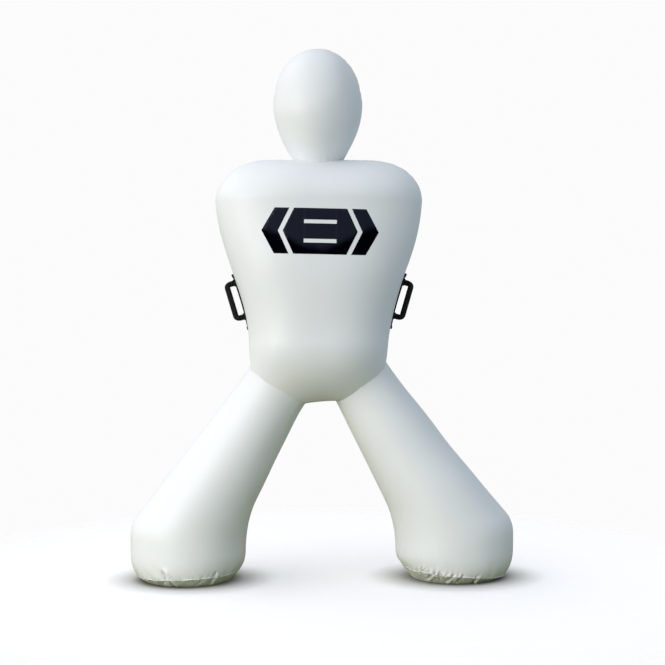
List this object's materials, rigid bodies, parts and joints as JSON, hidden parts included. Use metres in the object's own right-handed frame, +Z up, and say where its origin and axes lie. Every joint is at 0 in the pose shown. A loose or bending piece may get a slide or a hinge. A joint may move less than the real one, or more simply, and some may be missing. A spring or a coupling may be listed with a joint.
{
  "type": "grappling dummy",
  "caption": "Air-filled standing grappling dummy with an egg-shaped head, broad shoulders, splayed legs with round boots, side carry handles and an air valve.",
  "frame": {"origin": "on the floor, midway between the two feet", "axes": "+Z up, the chest faces -Y, +X towards the dummy's left side"},
  "size_m": [1.2944, 0.4498, 1.8],
  "materials": {
    "white_skin": "glossy coated PVC fabric",
    "sole_skin": "glossy coated PVC fabric",
    "dark_print": "gloss film",
    "black_webbing": "woven webbing",
    "valve_plastic": "moulded plastic",
    "valve_rubber": "soft rubber",
    "spring_steel": "bright wire",
    "cap_plastic": "moulded plastic"
  },
  "bodies": {
    "torso": {"torso_front_panel": "white_skin", "torso_back_panel": "white_skin", "chest_emblem": "dark_print", "neck_tube": "white_skin", "left_handle_base": "black_webbing", "right_handle_base": "black_webbing", "valve_body": "valve_plastic", "valve_gasket": "valve_rubber", "valve_nut": "valve_plastic", "valve_spring": "spring_steel", "cap_gasket": "valve_rubber", "cap_tether": "cap_plastic"},
    "head": {"head_front_panel": "white_skin", "head_back_panel": "white_skin"},
    "left_leg": {"left_leg_front_panel": "white_skin", "left_leg_back_panel": "white_skin", "left_sole_panel": "sole_skin"},
    "right_leg": {"right_leg_front_panel": "white_skin", "right_leg_back_panel": "white_skin", "right_sole_panel": "sole_skin"},
    "left_grip": {"left_handle_grip": "black_webbing"},
    "right_grip": {"right_handle_grip": "black_webbing"},
    "plunger": {"valve_stem": "valve_plastic", "valve_seal": "valve_rubber"},
    "cap": {"valve_cap": "cap_plastic"}
  },
  "joints": [
    {"name": "head_nod", "type": "hinge", "parent": "torso", "child": "head", "pos_m": [0, 0, 1.454], "axis": [1, 0, 0], "range_deg": [-18, 18], "stiffness_Nm_per_rad": 20},
    {"name": "left_leg_swing", "type": "hinge", "parent": "torso", "child": "left_leg", "pos_m": [0, 0, 0.815], "axis": [1, 0, 0], "range_deg": [-12, 12], "stiffness_Nm_per_rad": 250},
    {"name": "right_leg_swing", "type": "hinge", "parent": "torso", "child": "right_leg", "pos_m": [0, 0, 0.815], "axis": [1, 0, 0], "range_deg": [-12, 12], "stiffness_Nm_per_rad": 250},
    {"name": "left_grip_flop", "type": "hinge", "parent": "torso", "child": "left_grip", "pos_m": [0.28018, 0, 0.94894], "axis": [0.2804, 0, 0.9599], "range_deg": [-65, 65]},
    {"name": "right_grip_flop", "type": "hinge", "parent": "torso", "child": "right_grip", "pos_m": [-0.28018, 0, 0.94894], "axis": [-0.2804, 0, 0.9599], "range_deg": [-65, 65]},
    {"name": "plunger_press", "type": "slide", "parent": "torso", "child": "plunger", "axis": [0, -1, 0], "range_m": [0, 0.0035], "stiffness_N_per_m": 300, "deforming": ["valve_spring"]},
    {"name": "cap_turn", "type": "hinge", "parent": "torso", "child": "cap", "pos_m": [0, 0.217, 1.015], "axis": [0, 1, 0], "range_deg": [0, 90]}
  ]
}
